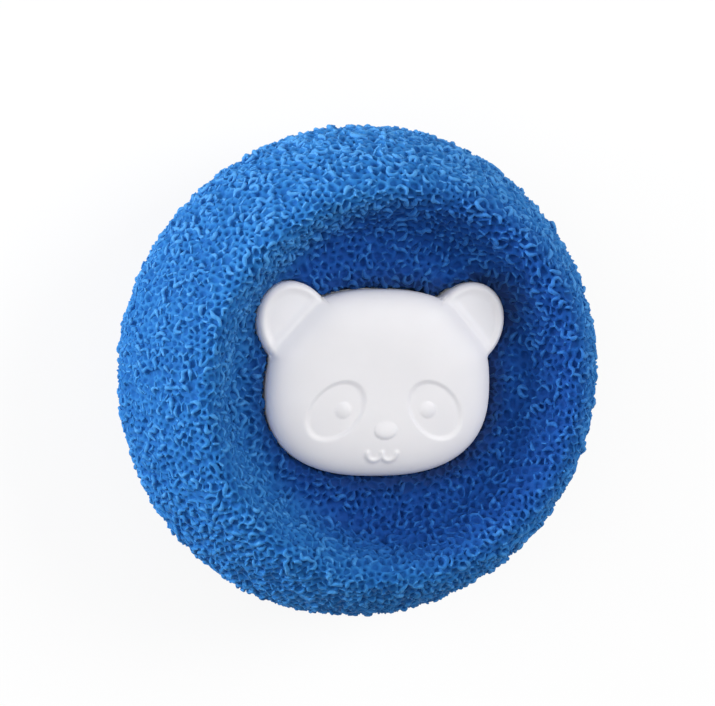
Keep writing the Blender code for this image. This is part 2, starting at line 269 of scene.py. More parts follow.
def ramp(tree, value, stops):
    """A colour ramp through (place, colour) stops."""
    node = add(tree, "ShaderNodeValToRGB", {"Fac": value})
    elements = node.color_ramp.elements
    while len(elements) < len(stops):
        elements.new(0.5)
    for element, (place, colour) in zip(elements, stops):
        element.position = place
        element.color = (*colour, 1.0)
    return out(node)


def new_material(name):
    """A material with its tree, its Principled shader and Object coordinates."""
    made = bpy.data.materials.new(name)
    made.use_nodes = True
    tree = made.node_tree
    place = out(add(tree, "ShaderNodeTexCoord"), "Object")
    return made, tree, tree.nodes["Principled BSDF"], place


def noise(tree, place, scale, detail):
    feeds = {"Vector": place, "Scale": scale, "Detail": detail}
    return out(add(tree, "ShaderNodeTexNoise", feeds), "Fac")


# Colours by depth: deeper points are painted darker, a painted shade on top of the pits' real shadow.
OPEN_STOPS = (
    (0.0, (0.07, 0.3, 0.68)),
    (0.25, (0.027, 0.195, 0.53)),
    (0.6, (0.0125, 0.14, 0.435)),
    (1.0, (0.0075, 0.105, 0.37)),
)
# Darker colours for the zone round each face: partly the squeezed cells' own colour, partly painted
# shade in the dish.
SQUEEZED_AND_SHADED_STOPS = (
    (0.0, (0.03, 0.18, 0.56)),
    (0.25, (0.0055, 0.08, 0.36)),
    (0.6, (0.003, 0.06, 0.3)),
    (1.0, (0.002, 0.049, 0.26)),
)
SQUEEZED_AND_SHADED_RADIUS = 18.5 * MM  # the sponge is squeezed, and painted in shade, out to here
OPEN_RADIUS = 24.2 * MM  # and has its full colour from here on
DISH_SHADE_SHIFT = (4.8 * MM, 0.8 * MM)  # painted shade: the darker zone's middle is moved this way, to the right, where the dish lies in shade
SQUEEZED_AND_SHADED_SHAPE = 0.9  # the darker zone reaches further up and down than to the sides
PAINTED_LIGHT_SIDE = (1.0, 4.0, 0.0)  # painted light: the colour is lighter this way, in steps of the ramp for each metre
STRETCHES, SPOTS = (260.0, 0.5), (1500.0, 0.7)  # the scale and strength of each unevenness
PAINTED_CREASE_SHADE = (0.0065, 0.024, 0.11)  # painted shade in the crease at the face's edge
PAINTED_CREASE_SHARES = (0.3, 1.0)  # how much of it shows on the left and on the right
PAINTED_CREASE_FROM = 12.0 * MM  # the left and right share hold beyond this distance from the middle line
PAINTED_CREASE_POWER = 0.5  # under 1, the painted crease shade reaches further than the firmly held cells
SPONGE_SURFACE = {
    "Roughness": 0.7,
    "Specular IOR Level": 0.15,
    "Sheen Weight": 0.35,
    "Sheen Roughness": 0.45,
    "Sheen Tint": (0.18, 0.52, 1.0, 1.0),
}


def unevenness(tree, place, scale, amount, detail):
    """A noise as a change round zero."""
    change = calc(tree, "SUBTRACT", noise(tree, place, scale, detail), 0.5)
    return calc(tree, "MULTIPLY", change, amount)


def from_axis(tree, place, aside=(0.0, 0.0), shape=1.0):
    """How far a place is from the ball's axis, or from a line beside it. Y counts by that shape."""
    parts = add(tree, "ShaderNodeSeparateXYZ", {0: place})
    across = calc(tree, "SUBTRACT", out(parts, "X"), aside[0])
    along = calc(tree, "MULTIPLY", calc(tree, "SUBTRACT", out(parts, "Y"), aside[1]), shape)
    flat = add(tree, "ShaderNodeCombineXYZ", {"X": across, "Y": along})
    return out(add(tree, "ShaderNodeVectorMath", {0: out(flat)}, operation="LENGTH"), "Value")


def sponge_material():
    made, tree, shader, place = new_material("blue_sponge")
    depth = out(add(tree, "ShaderNodeAttribute", attribute_name="depth"), "Fac")
    patchy = unevenness(tree, place, *STRETCHES, 3.0)
    spotty = unevenness(tree, place, *SPOTS, 2.0)
    # Painted light: the colour is lighter towards +Y and a little towards +X, and darker the other way.
    feeds = {0: place, 1: PAINTED_LIGHT_SIDE}
    painted_light = out(add(tree, "ShaderNodeVectorMath", feeds, operation="DOT_PRODUCT"), "Value")
    uneven = calc(tree, "SUBTRACT", calc(tree, "ADD", patchy, spotty), painted_light)
    value = calc(tree, "ADD", depth, uneven)
    # The darker zone stands partly for squeezed sponge and partly for painted shade; its middle is moved
    # towards the shaded side.
    out_from = from_axis(tree, place, DISH_SHADE_SHIFT, SQUEEZED_AND_SHADED_SHAPE)
    feeds = {"Value": out_from, "From Min": SQUEEZED_AND_SHADED_RADIUS, "From Max": OPEN_RADIUS}
    outer = out(add(tree, "ShaderNodeMapRange", feeds, interpolation_type="SMOOTHSTEP"))
    feeds = {"A": ramp(tree, value, SQUEEZED_AND_SHADED_STOPS), "B": ramp(tree, value, OPEN_STOPS), "Factor": outer}
    colour = add(tree, "ShaderNodeMix", feeds, data_type="RGBA")
    # Painted shade in the crease at the face's edge: it follows the firm number and is strongest on the
    # right.
    feeds = {"Value": out(add(tree, "ShaderNodeSeparateXYZ", {0: place}), "X")}
    feeds |= {"From Min": -PAINTED_CREASE_FROM, "From Max": PAINTED_CREASE_FROM}
    feeds |= {"To Min": PAINTED_CREASE_SHARES[0], "To Max": PAINTED_CREASE_SHARES[1]}
    side = out(add(tree, "ShaderNodeMapRange", feeds, interpolation_type="SMOOTHSTEP"))
    firm = out(add(tree, "ShaderNodeAttribute", attribute_name="firm"), "Fac")
    share = calc(tree, "MULTIPLY", calc(tree, "POWER", firm, PAINTED_CREASE_POWER), side)
    feeds = {"Factor": share, "A": out(colour, "Result"), "B": (*PAINTED_CREASE_SHADE, 1.0)}
    colour = add(tree, "ShaderNodeMix", feeds, data_type="RGBA")
    feed(tree, shader, SPONGE_SURFACE | {"Base Color": out(colour, "Result")})
    return made


blue_sponge = sponge_material()
print("sponge material:", len(blue_sponge.node_tree.nodes), "nodes")

# %% [markdown]
# ## The sponge's skin
# The skin is a doughnut, turned round the ball's axis, with a seat in the shape of the face pressed
# into each side. Each column of points is one section through the ring at one angle: up the bore,
# across the seat, up its wall, over the dish's floor and wall, over the crest and down the shoulder.
# The other half is its mirror image. Next to the face the sponge is squeezed, so it dips there.
# Each point also carries how firmly the face's edge holds it, and its lap, the way travelled round
# the section as seen from the axis. With lap and angle the doughnut unrolls into a flat sheet on
# which small shapes keep their form.

# %% Skin of the sponge
COLUMNS = 240
PUCKER_DEPTH = 0.1 * MM  # how far the sponge dips right at the face's edge
PUCKER_REACH = 0.4 * MM
STAND_OUT = 0.2 * MM  # how far the skin lies inside the ball's size, which its swells and threads fill
LIP = 0.3 * MM  # how much nearer the face the sponge's skin comes than its seat
SWELL_RISE = 0.85 * MM  # how far it swells a little further out, where it is squeezed sideways
SWELL_PLACE = 0.7 * MM
SWELL_REACH = 1.7 * MM
FIRM_REACH = 1.2 * MM  # how far from the face's edge the squeezed cells are still closed up, and the crease is painted in shade
RISE_START = 18.0 * MM  # where the dish's floor starts to turn up towards the crest
BORE_STEPS, SEAT_STEPS, WALL_STEPS, FLOOR_STEPS, RISE_STEPS, SHOULDER_STEPS = 5, 10, 8, 12, 16, 22
SMOOTHINGS = 3  # times that each section's corners are rounded off


def stretch(start, end, steps):
    """Evenly spaced points from start to end, without the last."""
    share = (np.arange(steps) / steps)[:, None]
    return np.asarray(start) * (1 - share) + np.asarray(end) * share


def shoulder():
    """From the crest down to just before the equator: a quarter of an oval, squarish or lean."""
    turn = math.pi / 2 * np.arange(1, SHOULDER_STEPS) / SHOULDER_STEPS
    across, up = np.cos(turn) ** (2 / SHOULDER_POWER), np.sin(turn) ** (2 / SHOULDER_POWER)
    reach = BALL_RADIUS - STAND_OUT - CREST_RADIUS
    down = np.stack([CREST_RADIUS + reach * across, CREST_HEIGHT * up], 1)
    return np.vstack([(CREST_RADIUS, CREST_HEIGHT), down[::-1]])


def dish_height(radius):
    slope = (DISH_FOOT_HEIGHT - DISH_CENTRE_HEIGHT) / (DISH_FOOT_RADIUS - BORE_RADIUS)
    return DISH_CENTRE_HEIGHT + slope * (radius - BORE_RADIUS)


def half_section(edge):
    """(radius, height above the middle) from the bore to the equator, for one angle."""
    seat_low, seat_high = (edge, SEAT_HEIGHT), (edge - LIP, dish_height(edge))
    rise_foot = (RISE_START, dish_height(RISE_START))
    floor = stretch(seat_high, rise_foot, FLOOR_STEPS)
    beyond = floor[:, 0] - edge
    floor[:, 1] += SWELL_RISE * np.exp(-(((beyond - SWELL_PLACE) / SWELL_REACH) ** 2))
    floor[:, 1] -= PUCKER_DEPTH * np.exp(-beyond / PUCKER_REACH)
    rise = stretch(rise_foot, (CREST_RADIUS, CREST_HEIGHT), RISE_STEPS)
    share = (rise[:, 0] - RISE_START) / (CREST_RADIUS - RISE_START)
    rise[:, 1] = rise_foot[1] + (CREST_HEIGHT - rise_foot[1]) * (1 - np.cos(math.pi * share)) / 2
    bore = stretch((BORE_RADIUS, 0.0), (BORE_RADIUS, SEAT_HEIGHT), BORE_STEPS)
    seat = stretch((BORE_RADIUS, SEAT_HEIGHT), seat_low, SEAT_STEPS)
    wall = stretch(seat_low, floor[0], WALL_STEPS)
    return np.vstack([bore, seat, wall, floor, rise, shoulder()])


def skin_grid():
    """The section at every angle: radii, heights, laps and firmness, one row for each angle."""
    turns = np.linspace(-math.pi, math.pi, COLUMNS, endpoint=False)
    edges = edge_radius(turns) + GAP
    sections = []
    for edge in edges:
        front = half_section(edge)
        rear = front * (1, -1)
        loop = np.vstack([front, [(BALL_RADIUS - STAND_OUT, 0.0)], rear[:0:-1]])
        for _ in range(SMOOTHINGS):
            loop = (np.roll(loop, 1, 0) + 2 * loop + np.roll(loop, -1, 0)) / 4
        sections.append(np.vstack([loop, loop[:1]]))
    sections = np.array(sections)
    radius, height = sections[..., 0], np.maximum(sections[..., 1], -MIDDLE)
    way = np.hypot(np.diff(radius, axis=1), np.diff(height, axis=1))
    step = way * 2 / (radius[:, 1:] + radius[:, :-1])
    lap = np.hstack([np.zeros((COLUMNS, 1)), np.cumsum(step, 1)])
    whole = lap[:, -1].mean()
    firm = np.exp(-(((radius - edges[:, None]) / FIRM_REACH) ** 2))
    return turns, radius, height, lap / lap[:, -1:] * whole, firm, whole


turns, skin_radius, skin_height, skin_lap, skin_firm, WHOLE_LAP = skin_grid()
rows = skin_radius.shape[1]
x, y = skin_radius * np.cos(turns)[:, None], skin_radius * np.sin(turns)[:, None]
skin_points = np.stack([x, y, skin_height + MIDDLE], 2).reshape(-1, 3)
skin_faces = []
for column in range(COLUMNS):
    here, beside = column * rows, (column + 1) % COLUMNS * rows
    skin_faces += [(here + i, here + i + 1, beside + i + 1, beside + i) for i in range(rows - 1)]
skin = mesh_object("sponge", skin_points, skin_faces)
for name, values in (("lap", skin_lap), ("firm", skin_firm)):
    skin.data.attributes.new(name, "FLOAT", "POINT").data.foreach_set("value", values.ravel())
print(f"skin: {COLUMNS} sections of {rows} points, one lap is {WHOLE_LAP:.2f}")

# %% [markdown]
# ## Where the cells are
# In open-cell sponge the bubbles are all about as large, but no two are alike. A Poisson scatter gives
# just that: points at random, none nearer to another than a set distance. A small tree puts one such
# point for each cell on the skin.

# %% Scatter of cells
CELL_GAP = 0.76 * MM  # the least distance between two cells' middles
CELL_TRIES = 2.7 / MM**2  # points tried, of which those too near to another are dropped


def scatter_tree():
    sizes = (
        ("Least gap", "NodeSocketFloat", 1.0),
        ("Tries", "NodeSocketFloat", 1.0),
        ("Seed", "NodeSocketInt", 0),
    )
    tree, given = geometry_tree("cell_scatter", sizes)
    feeds = {"Mesh": given.outputs["Geometry"], "Distance Min": given.outputs["Least gap"]}
    feeds |= {"Density Max": given.outputs["Tries"], "Seed": given.outputs["Seed"]}
    points = add(tree, "GeometryNodeDistributePointsOnFaces", distribute_method="POISSON")
    for name, value in feeds.items():
        tree.links.new(value, points.inputs[name])
    vertices = add(tree, "GeometryNodePointsToVertices", {"Points": out(points, "Points")})
    finish_tree(tree, out(vertices), blue_sponge)
    return tree


run_tree(skin, scatter_tree(), {"Least gap": CELL_GAP, "Tries": CELL_TRIES, "Seed": 5})
seeds = points_of(skin.data)
laps, firmness = numbers(skin.data, "lap"), numbers(skin.data, "firm")
print("cells:", len(seeds))

# %% [markdown]
# ## A web between the cells
# Joining each cell's middle to its neighbours gives a net of triangles. Delaunay's rule picks the
# neighbours, but it works on a flat sheet. The unrolled doughnut is such a sheet. Its opposite edges
# belong together, so points near an edge are copied beyond the opposite one before the net is made,
# and only the triangles whose middle lies on the sheet itself are kept.

# %% Web of triangles
MARGIN = 0.5  # how much of the sheet is copied beyond each edge, in radians
sheet = np.stack([np.arctan2(seeds[:, 1], seeds[:, 0]), laps], 1)
SHEET_LOW = np.array([-math.pi, 0.0])
SHEET_SIZE = np.array([math.tau, WHOLE_LAP])


def padded_sheet():
    """The sheet's points with copies beyond its edges, and which cell each is."""
    places, cells = [], []
    for shift in [(i, j) for i in (0, -1, 1) for j in (0, -1, 1)]:
        moved = sheet + SHEET_SIZE * shift
        near = ((moved > SHEET_LOW - MARGIN) & (moved < SHEET_LOW + SHEET_SIZE + MARGIN)).all(1)
        places.append(moved[near])
        cells.append(np.flatnonzero(near))
    return np.vstack(places), np.concatenate(cells)


places, cells = padded_sheet()
net = delaunay_2d_cdt([Vector(place) for place in places], [], [], 0, 1e-9)
net_places = np.array([tuple(place) for place in net[0]])
net_cells = cells[[source[0] for source in net[3]]]
triangles = np.array([face for face in net[2] if len(face) == 3])
middles = net_places[triangles].mean(1)
inside = ((middles >= SHEET_LOW) & (middles < SHEET_LOW + SHEET_SIZE)).all(1)
web = net_cells[triangles[inside]][:, ::-1]
sponge = mesh_object("sponge_foam", seeds, web.tolist())
sponge.data.attributes.new("firm", "FLOAT", "POINT").data.foreach_set("value", firmness)
bpy.data.objects.remove(skin)
print("web:", len(web), "triangles, and", len(web) - 2 * len(seeds), "too many")

# %% [markdown]
# ## From the web to sponge
# The dual of a net of triangles has one many-sided cell for each point and three edges at every
# corner, which is how bubbles meet. So the tree turns the web into its dual, moves the corners a
# little, and lets some sink, as torn struts do. It then insets each cell twice, which leaves a rounded
# strut along every edge, and pushes the inset down and in for the pit.

# %% Sponge tree
SWELL_SCALE, WANDER_SCALE = 240.0, 1100.0  # of the noises that move the corners, for each metre
STRUT_UNEVEN = (0.7, 1.4)  # a strut's least and most share of its width
LEAST_INSET = 0.5  # no inset makes a cell smaller than this share
STRUT_INSETS = ((0.5, 0.2), (0.5, 0.8))  # each inset's share of the strut's width and of its drop
FLANK_SHADE = 0.12  # how much darker a strut's foot is painted than its top, as painted shade
SPONGE_INPUTS = {
    "Strut": 0.46 * MM,
    "Strut drop": 0.14 * MM,
    "Shallow pit": 0.12 * MM,
    "Deep pit": 0.42 * MM,
    "Pit share": 0.7,
    "Swell": 0.8 * MM,
    "Wander": 0.6 * MM,
    "Whole share": 0.15,
    "Torn drop": 0.42 * MM,
    "Torn shade": 0.5,
    "Strut shade": 0.35,
    "Thread share": 0.32,
    "Thread": 0.56 * MM,
    "Thread rise": 0.05 * MM,
    "Thread shade": 0.3,
}


def sponge_tree():
    sizes = [(label, "NodeSocketFloat", value) for label, value in SPONGE_INPUTS.items()]
    tree, given = geometry_tree("sponge_cells", [*sizes, ("Seed", "NodeSocketInt", 0)])
    size = {label: given.outputs[label] for label in (*SPONGE_INPUTS, "Seed")}
    dual = add(tree, "GeometryNodeDualMesh", {"Mesh": given.outputs["Geometry"]})
    moved = move_corners(tree, out(dual), size)
    cells = dig_pits(tree, moved, size)
    both = add(tree, "GeometryNodeJoinGeometry")
    for part in (threads(tree, moved, size), cells):
        tree.links.new(part, both.inputs[0])
    smooth = add(tree, "GeometryNodeSetShadeSmooth", {"Geometry": out(both)})
    finish_tree(tree, out(smooth), blue_sponge)
    return tree


def random_number(tree, low, high, seed):
    feeds = {"Min": low, "Max": high, "Seed": seed}
    return out(add(tree, "FunctionNodeRandomValue", feeds, data_type="FLOAT"))


def attribute(tree, name):
    node = add(tree, "GeometryNodeInputNamedAttribute", {"Name": name}, data_type="FLOAT")
    return out(node, "Attribute")


def slack(tree):
    """1 where the sponge is free and 0 where the face's edge holds it."""
    return calc(tree, "SUBTRACT", 1.0, attribute(tree, "firm"))


def scaled(tree, vector, factor):
    return out(add(tree, "ShaderNodeVectorMath", {0: vector, "Scale": factor}, operation="SCALE"))


def move_corners(tree, geometry, size):
    """Swells the skin in waves, lets corners wander, and lets a share of them sink."""
    normal = out(add(tree, "GeometryNodeInputNormal"))
    place = out(add(tree, "GeometryNodeInputPosition"))
    wave = unevenness(tree, place, SWELL_SCALE, size["Swell"], 3.0)
    feeds = {"Value": random_number(tree, 0.0, 1.0, size["Seed"]), "From Min": size["Whole share"]}
    torn = out(add(tree, "ShaderNodeMapRange", feeds, interpolation_type="SMOOTHSTEP"))
    sunk = calc(tree, "MULTIPLY", calc(tree, "MULTIPLY", torn, size["Torn drop"]), slack(tree))
    lift = scaled(tree, normal, calc(tree, "SUBTRACT", wave, sunk))
    fine = add(tree, "ShaderNodeTexNoise", {"Vector": place, "Scale": WANDER_SCALE, "Detail": 1.0})
    feeds = {0: out(fine, "Color"), 1: (0.5, 0.5, 0.5)}
    either_way = out(add(tree, "ShaderNodeVectorMath", feeds, operation="SUBTRACT"))
    aside = scaled(tree, either_way, calc(tree, "MULTIPLY", size["Wander"], slack(tree)))
    offset = add(tree, "ShaderNodeVectorMath", {0: lift, 1: aside}, operation="ADD")
    # Painted shade: sunk corners are marked deeper, so they are coloured darker.
    shade = calc(tree, "ADD", calc(tree, "MULTIPLY", torn, size["Torn shade"]), size["Strut shade"])
    marked = mark(tree, geometry, "depth", True, shade)
    moved = add(tree, "GeometryNodeSetPosition", {"Geometry": marked, "Offset": out(offset)})
    return on_floor(tree, out(moved))


def on_floor(tree, geometry):
    """Keeps everything on or above the floor that the ball lies on."""
    parts = add(tree, "ShaderNodeSeparateXYZ", {0: out(add(tree, "GeometryNodeInputPosition"))})
    height = calc(tree, "MAXIMUM", out(parts, "Z"), 0.0)
    feeds = {"X": out(parts, "X"), "Y": out(parts, "Y"), "Z": height}
    feeds = {"Geometry": geometry, "Position": out(add(tree, "ShaderNodeCombineXYZ", feeds))}
    return out(add(tree, "GeometryNodeSetPosition", feeds))


def mark(tree, geometry, name, chosen, value):
    """Keeps a number under a name at the chosen points."""
    feeds = {"Geometry": geometry, "Selection": chosen, "Name": name, "Value": value}
    return out(add(tree, "GeometryNodeStoreNamedAttribute", feeds, data_type="FLOAT", domain="POINT"))


def inset(tree, geometry, chosen, size, strut_share, drop_share):
    """Insets the chosen cells by a part of their struts' width, and lowers them a little."""
    down = calc(tree, "MULTIPLY", size["Strut drop"], -drop_share)
    feeds = {"Mesh": geometry, "Selection": chosen, "Offset Scale": down}
    raised = add(tree, "GeometryNodeExtrudeMesh", feeds, mode="FACES")
    across = calc(tree, "SQRT", out(add(tree, "GeometryNodeInputMeshFaceArea")))
    uneven = random_number(tree, *(strut_share * part for part in STRUT_UNEVEN), 7)
    strut = calc(tree, "MULTIPLY", size["Strut"], uneven)
    share = calc(tree, "SUBTRACT", 1.0, calc(tree, "DIVIDE", strut, across))
    feeds = {"Geometry": out(raised, "Mesh"), "Selection": out(raised, "Top")}
    feeds["Scale"] = calc(tree, "MAXIMUM", share, LEAST_INSET)
    return out(add(tree, "GeometryNodeScaleElements", feeds)), out(raised, "Top")


def dig_pits(tree, geometry, size):
    """Insets every cell twice to leave round struts, and pushes its floor inwards."""
    cell = True
    for strut_share, drop_share in STRUT_INSETS:
        geometry, cell = inset(tree, geometry, cell, size, strut_share, drop_share)
    # Painted shade: the struts' feet and the pits' floors are marked deeper, so they are coloured
    # darker.
    shade = calc(tree, "ADD", attribute(tree, "depth"), FLANK_SHADE)
    marked = mark(tree, geometry, "depth", cell, shade)
    low = calc(tree, "MULTIPLY", size["Shallow pit"], -1.0)
    high = calc(tree, "MULTIPLY", size["Deep pit"], -1.0)
    depth = calc(tree, "MULTIPLY", random_number(tree, low, high, 3), slack(tree))
    feeds = {"Mesh": marked, "Selection": cell, "Offset Scale": depth}
    pit = add(tree, "GeometryNodeExtrudeMesh", feeds, mode="FACES")
    feeds = {"Geometry": out(pit, "Mesh"), "Selection": out(pit, "Top"), "Scale": size["Pit share"]}
    return mark(tree, out(add(tree, "GeometryNodeScaleElements", feeds)), "depth", out(pit, "Top"), 1.0)


# %% [markdown]
# ## Loose threads
# Some struts stand out of the skin as round threads, where the wall beside them has torn away. They
# follow the cells' own edges. A random share of the edges becomes curves, so that edges that meet
# make one longer thread, and a round profile runs along each. It is thick in its middle and thin at
# its ends, where it goes back into the net. Threads are only made where the skin shows: inside the
# seat and the bore nobody would see them. Each keeps its number, for the flat map below.

# %% Threads
SEAT_SHOWS = 6.0 * MM  # the skin shows above this height above the middle
THREAD_SIDES = 6
THREAD_STEPS = 3  # pieces between two corners
THREAD_ENDS = 0.45  # how thick its ends are
THREAD_POWER = 3.0  # 1 thins a thread evenly towards its ends, and more keeps its middle thick
THREAD_UNEVEN = (0.8, 1.25)  # how thick it is at each corner


def threads(tree, geometry, size):
    """A round thread along every chain of chosen edges, a little above the skin."""
    place = out(add(tree, "GeometryNodeInputPosition"))
    height = calc(tree, "SUBTRACT", out(add(tree, "ShaderNodeSeparateXYZ", {0: place}), "Z"), MIDDLE)
    shows = calc(tree, "GREATER_THAN", calc(tree, "ABSOLUTE", height), SEAT_SHOWS)
    outer = calc(tree, "GREATER_THAN", from_axis(tree, place), DISH_FOOT_RADIUS)
    shows = calc(tree, "MAXIMUM", shows, outer)
    chosen = calc(tree, "LESS_THAN", random_number(tree, 0.0, 1.0, 11), size["Thread share"])
    up = scaled(tree, out(add(tree, "GeometryNodeInputNormal")), size["Thread rise"])
    lifted = out(add(tree, "GeometryNodeSetPosition", {"Geometry": geometry, "Offset": up}))
    feeds = {"Mesh": lifted, "Selection": calc(tree, "MULTIPLY", shows, chosen)}
    chains = out(add(tree, "GeometryNodeMeshToCurve", feeds))
    chains = out(add(tree, "GeometryNodeCurveSplineType", {"Curve": chains}, spline_type="CATMULL_ROM"))
    feeds = {"Geometry": chains, "Resolution": THREAD_STEPS}
    chains = out(add(tree, "GeometryNodeSetSplineResolution", feeds))
    number = calc(tree, "ADD", out(add(tree, "GeometryNodeInputIndex")), 1.0)
    number = out(add(tree, "GeometryNodeFieldOnDomain", {0: number}, domain="CURVE", data_type="FLOAT"))
    chains = mark(tree, chains, "thread", True, number)
    # Painted shade: each thread takes a share of the depth below it, so low threads are coloured darker.
    shade = calc(tree, "MULTIPLY", attribute(tree, "depth"), size["Thread shade"])
    chains = mark(tree, chains, "depth", True, shade)
    along = out(add(tree, "GeometryNodeSplineParameter"), "Factor")
    chains = mark(tree, chains, "along", True, along)
    from_middle = calc(tree, "SUBTRACT", calc(tree, "MULTIPLY", along, 2.0), 1.0)
    thinning = calc(tree, "POWER", calc(tree, "ABSOLUTE", from_middle), THREAD_POWER)
    thinner = calc(tree, "MULTIPLY", thinning, 1.0 - THREAD_ENDS)
    uneven = random_number(tree, *THREAD_UNEVEN, 31)
    ring = add(tree, "GeometryNodeCurvePrimitiveCircle", {"Resolution": THREAD_SIDES})
    tree.links.new(calc(tree, "DIVIDE", size["Thread"], 2.0), ring.inputs["Radius"])
    around = calc(tree, "DIVIDE", out(add(tree, "GeometryNodeInputIndex")), float(THREAD_SIDES))
    profile = mark(tree, out(ring, "Curve"), "around", True, around)
    feeds = {"Curve": chains, "Profile Curve": profile, "Fill Caps": True}
    feeds["Scale"] = calc(tree, "MULTIPLY", calc(tree, "SUBTRACT", 1.0, thinner), uneven)
    return on_floor(tree, out(add(tree, "GeometryNodeCurveToMesh", feeds)))


# %% Sponge
run_tree(sponge, sponge_tree(), {"Seed": 3})
print("sponge:", len(sponge.data.polygons), "faces,", len(sponge.data.vertices), "points")

# %% [markdown]
# ## Clear of the plastic
# The cells were moved about at random, so some reach into the face or into the plate behind it. Real
# sponge gives way there. So each such point goes the shorter way out: beyond the outline or under
# the plate.

# %% Clear of the plastic
CLEAR = 0.03 * MM
OUTLINE_TURNS = np.linspace(-math.pi, math.pi, 2881)


def keep_clear(mesh):
    """Pushes the points that lie in the plastic out of it, and says how many there were."""
    points = points_of(mesh)
    turn = np.arctan2(points[:, 1], points[:, 0])
    edge = np.interp(turn, OUTLINE_TURNS, edge_radius(OUTLINE_TURNS)) + CLEAR
    radius, above = np.hypot(points[:, 0], points[:, 1]), np.abs(points[:, 2] - MIDDLE)
    aside, down = edge - radius, above - (PLATE_SEAT - CLEAR)
    inside = (aside > 0) & (down > 0)
    under, beside = inside & (down <= aside), inside & (down > aside)
    points[under, 2] -= down[under] * np.sign(points[under, 2] - MIDDLE)
    points[beside, :2] *= (edge / radius)[beside, None]
    mesh.vertices.foreach_set("co", points.ravel())
    mesh.update()
    return inside.sum()


print("sponge points pushed clear:", keep_clear(sponge.data))

# %% [markdown]
# ## A flat map of the sponge
# When colours are baked for other programs, every face needs its own place in a flat picture. The
# doughnut is already a sheet of angle and lap, so each point of a cell goes where the skin below it
# lies on that sheet. A face that crosses one of the sheet's edges is kept whole by moving its far
# corners beyond the edge. The threads lie over the cells, so each gets a small box of its own in a
# strip beside the sheet.

# %% Map of the sponge
MAP_SHEET = (0.005, 0.005, 0.775, 0.975)  # low u, low v, high u, high v
MAP_STRIP = (0.8, 0.005, 0.998, 0.995)
BOX_MARGIN = 0.12  # of each thread's box is left free at every side
CAP_MIDDLES = (0.05, 0.95)  # where its two caps lie along the box
CAP_WIDTH, CAP_HEIGHT = 0.04, 0.35
AT_ONCE = 20000  # points looked at together


def nearest_lap(points):
    """The angle of each point, and the lap of the nearest place on the skin's section there."""
    turn = np.arctan2(points[:, 1], points[:, 0])
    column = np.round((turn + math.pi) / math.tau * COLUMNS).astype(int) % COLUMNS
    section = np.stack([skin_radius, skin_height], 2)
    place = np.stack([np.hypot(points[:, 0], points[:, 1]), points[:, 2] - MIDDLE], 1)
    lap = np.empty(len(points))
    for first in range(0, len(points), AT_ONCE):
        some = slice(first, first + AT_ONCE)
        start, step = section[column[some], :-1], np.diff(section[column[some]], axis=1)
        beyond = place[some, None] - start
        along = np.clip((beyond * step).sum(2) / (step**2).sum(2), 0, 1)
        best = ((beyond - along[..., None] * step) ** 2).sum(2).argmin(1)
        pick = (np.arange(len(best)), best)
        laps = skin_lap[column[some]]
        lap[some] = laps[pick] + along[pick] * np.diff(laps, axis=1)[pick]
    return turn, lap


def whole_faces(value, first, count, period):
    """Moves the low corners of each face that crosses the sheet's edge beyond its high edge."""
    low, high = np.minimum.reduceat(value, first), np.maximum.reduceat(value, first)
    crosses = np.repeat(high - low > period / 2, count)
    middle = np.repeat((high + low) / 2, count)
    return np.where(crosses & (value < middle), value + period, value)


def into(box, across, up):
    """Places from 0 to 1 put into a box of the map."""
    return np.stack([box[0] + (box[2] - box[0]) * across, box[1] + (box[3] - box[1]) * up], 1)


def thread_places(thread, along, around, capped):
    """Each thread's corners in its own box. Its two caps are small ovals in the box's margins."""
    index = thread.round().astype(int) - 1
    boxes = index.max() + 1
    wide = max(1, round(math.sqrt(boxes * (MAP_STRIP[2] - MAP_STRIP[0]) / 2)))
    high = math.ceil(boxes / wide)
    ring = math.tau * around
    middle = CAP_MIDDLES[0] + (CAP_MIDDLES[1] - CAP_MIDDLES[0]) * along
    cap = np.stack([middle + CAP_WIDTH * np.cos(ring), 0.5 + CAP_HEIGHT * np.sin(ring)])
    side = BOX_MARGIN + (1 - 2 * BOX_MARGIN) * np.stack([along, around])
    across, up = np.where(capped, cap, side)
    return into(MAP_STRIP, (index % wide + across) / wide, (index // wide + up) / high)


def map_sponge(mesh):
    """Gives the mesh its flat map, and gives the map's places back."""
    corner_point = np.empty(len(mesh.loops), int)
    mesh.loops.foreach_get("vertex_index", corner_point)
    first, count = np.empty(len(mesh.polygons), int), np.empty(len(mesh.polygons), int)
    mesh.polygons.foreach_get("loop_start", first)
    mesh.polygons.foreach_get("loop_total", count)
    turn, lap = nearest_lap(points_of(mesh))
    turn = whole_faces(turn[corner_point], first, count, math.tau)
    lap = whole_faces(lap[corner_point], first, count, WHOLE_LAP)
    places = into(MAP_SHEET, (turn + math.pi) / math.tau, lap / WHOLE_LAP)
    names = ("thread", "along", "around")
    thread, along, around = (numbers(mesh, name)[corner_point] for name in names)
    around = whole_faces(around, first, count, 1.0)
    capped = np.repeat(count == THREAD_SIDES, count)
    corners = np.flatnonzero(thread > 0.5)
    of_threads = [values[corners] for values in (thread, along, around, capped)]
    places[corners] = thread_places(*of_threads)
    mesh.uv_layers.new(name="OFBake").data.foreach_set("uv", places.ravel())
    for name in names:
        mesh.attributes.remove(mesh.attributes[name])
    return places


sponge_map = map_sponge(sponge.data)
print("map: from", sponge_map.min(0).round(3), "to", sponge_map.max(0).round(3))

# %% [markdown]
# ## The face shell
# The moulded face is one smooth surface, so it is written as a height over the outline: a dome for
# the head, a lower plane for each ear, and the relief added to them. The points lie on rays from the
# hub's axis, closer together at the edge, where the surface bends most. Soft steps stand for the
# small radii that a mould always has.

